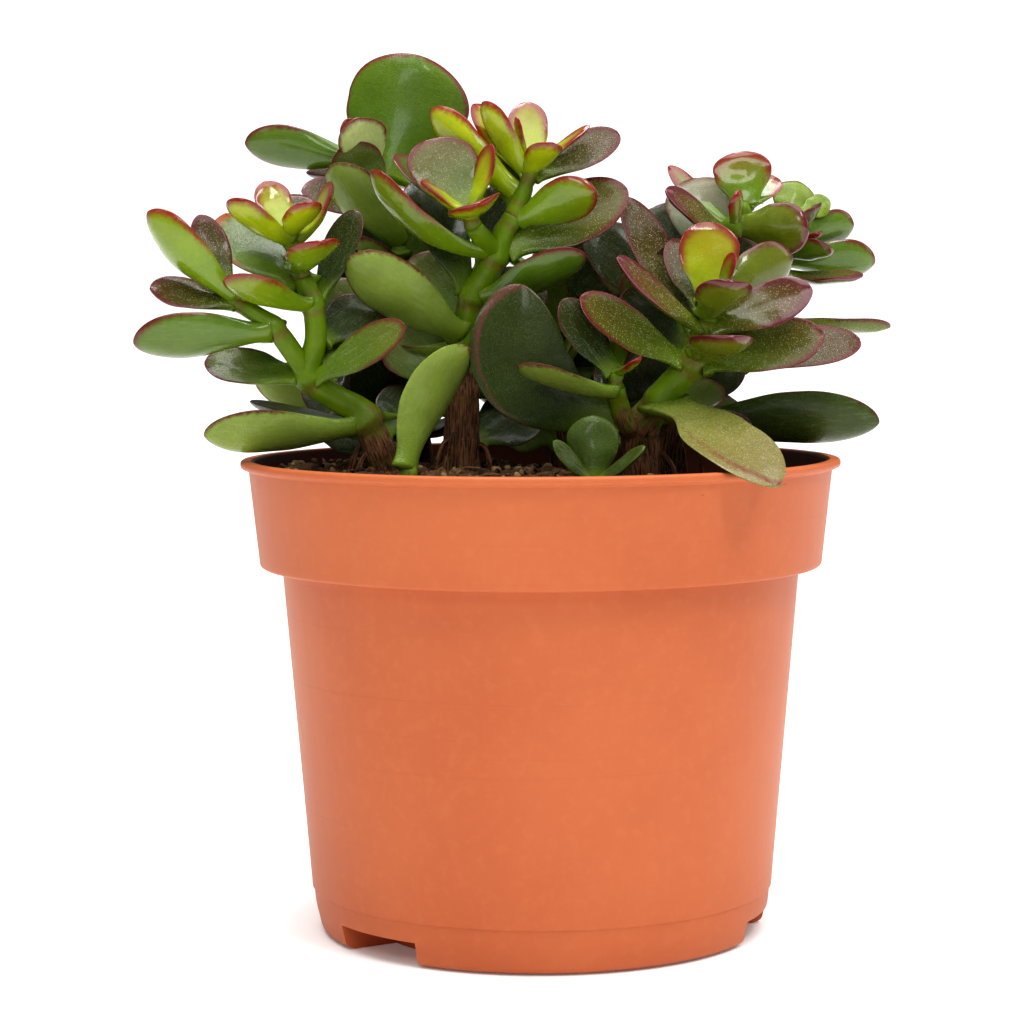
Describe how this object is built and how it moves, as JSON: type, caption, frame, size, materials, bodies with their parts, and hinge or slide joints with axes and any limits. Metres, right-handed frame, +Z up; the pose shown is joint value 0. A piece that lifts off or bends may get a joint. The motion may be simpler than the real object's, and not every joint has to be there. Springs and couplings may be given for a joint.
{
  "type": "potted jade plant",
  "caption": "Bushy young jade plant with plump red-edged leaves on branching stems, in a round tapered grower's pot of terracotta-coloured plastic filled with soil.",
  "frame": {"origin": "middle of the pot's flat underside, on the surface it stands on", "axes": "+Z up along the pot's axis, -Y the side that faces the viewer, +X to the viewer's right"},
  "size_m": [0.1528, 0.12, 0.1775],
  "materials": {
    "pot": "satin injection-moulded plastic, terracotta orange",
    "soil": "crumbly dark peat",
    "stem": "green turning to brown, fibrous bark lower down",
    "leaf": "waxy green with red margins",
    "young_growth": "glossy yellow-green with red margins"
  },
  "bodies": {
    "root": {"back_crown": "young_growth", "back_left_crown": "young_growth", "back_left_leaf_1": "leaf", "back_left_leaf_2": "leaf", "back_left_leaf_3": "leaf", "back_left_stem": "stem", "back_right_leaf_1": "leaf", "back_right_leaf_2": "leaf", "back_right_leaf_3": "leaf", "back_right_stem": "stem", "back_stem": "stem", "centre_crown": "young_growth", "centre_leaf_1": "leaf", "centre_leaf_2": "leaf", "centre_leaf_3": "leaf", "centre_leaf_4": "leaf", "centre_leaf_5": "leaf", "centre_leaf_6": "leaf", "centre_leaf_7": "leaf", "centre_leaf_8": "leaf", "centre_side_crown": "young_growth", "centre_stem": "stem", "far_right_crown": "young_growth", "front_crown": "young_growth", "left_crown": "young_growth", "left_leaf_1": "leaf", "left_leaf_10": "leaf", "left_leaf_11": "leaf", "left_leaf_12": "leaf", "left_leaf_13": "leaf", "left_leaf_14": "leaf", "left_leaf_2": "leaf", "left_leaf_3": "leaf", "left_leaf_4": "leaf", "left_leaf_5": "leaf", "left_leaf_6": "leaf", "left_leaf_7": "leaf", "left_leaf_8": "leaf", "left_leaf_9": "leaf", "left_stem": "stem", "pot": "pot", "right_crown": "young_growth", "right_leaf_1": "leaf", "right_leaf_10": "leaf", "right_leaf_11": "leaf", "right_leaf_2": "leaf", "right_leaf_3": "leaf", "right_leaf_4": "leaf", "right_leaf_5": "leaf", "right_leaf_6": "leaf", "right_leaf_7": "leaf", "right_leaf_8": "leaf", "right_leaf_9": "leaf", "right_stem": "stem", "rooted_leaf": "leaf", "seedling": "young_growth", "soil": "soil", "upper_right_crown": "young_growth"}
  },
  "joints": []
}
